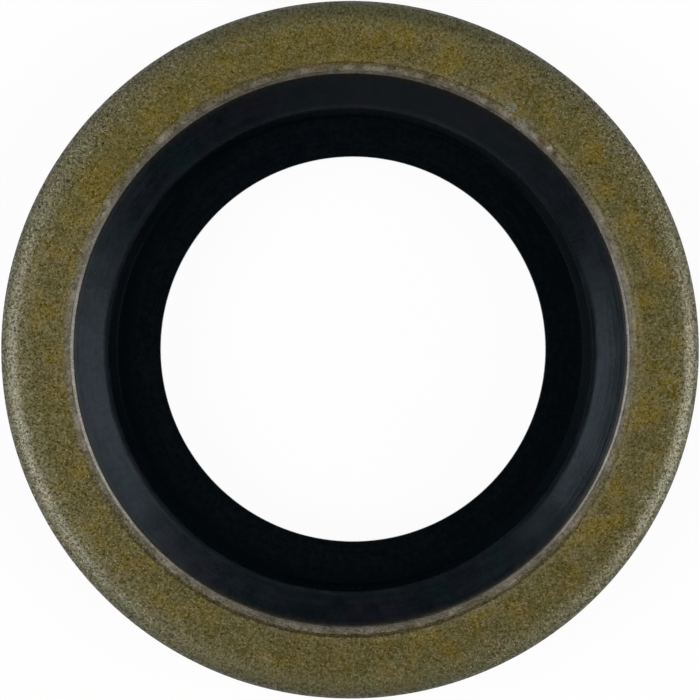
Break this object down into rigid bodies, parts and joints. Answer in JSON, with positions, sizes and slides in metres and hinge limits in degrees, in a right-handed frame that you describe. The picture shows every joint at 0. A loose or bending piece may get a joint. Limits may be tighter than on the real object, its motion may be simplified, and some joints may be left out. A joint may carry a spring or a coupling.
{
  "type": "bonded sealing washer",
  "caption": "Self-centring bonded sealing washer: a flat steel ring with a rubber element bonded in its bore, a sealing lip on each face and a thin centring web.",
  "frame": {"origin": "the ring's centre, at half its thickness; the thread bore's axis runs 0.09 mm towards +X and 0.02 mm towards +Y of it", "axes": "+Z along the washer's axis, out of the face with the rolled outer edge; +X and +Y across the washer"},
  "size_m": [0.0206, 0.0206, 0.0026],
  "materials": {
    "passivated_steel": "matte",
    "black_rubber": "satin"
  },
  "bodies": {
    "root": {"metal_ring": "passivated_steel", "rubber_seal": "black_rubber"}
  },
  "joints": []
}
